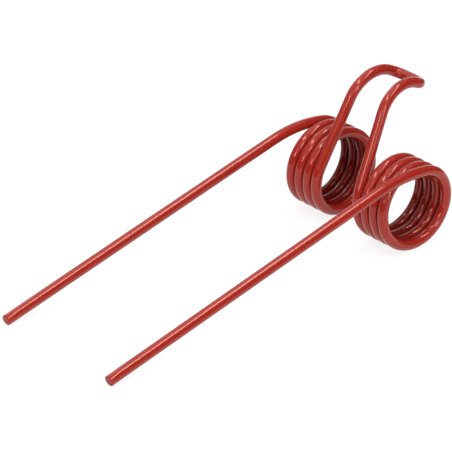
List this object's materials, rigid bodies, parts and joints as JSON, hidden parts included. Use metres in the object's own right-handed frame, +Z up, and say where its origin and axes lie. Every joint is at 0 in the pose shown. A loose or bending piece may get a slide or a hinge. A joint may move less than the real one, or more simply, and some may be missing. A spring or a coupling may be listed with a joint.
{
  "type": "baler pick-up tine",
  "caption": "Double spring tine of round red-painted wire: two straight fingers, two close coils and a hooked mounting loop between the coils.",
  "frame": {"origin": "on the axis of the two coils, midway between them", "axes": "+Y along the coil axis, -X towards the finger tips, +Z up as the tine rests on its coils and finger tips"},
  "size_m": [0.2329, 0.0816, 0.0795],
  "materials": {
    "painted_wire": "glossy red paint over spring steel wire"
  },
  "bodies": {
    "root": {"spring_tine": "painted_wire"}
  },
  "joints": []
}
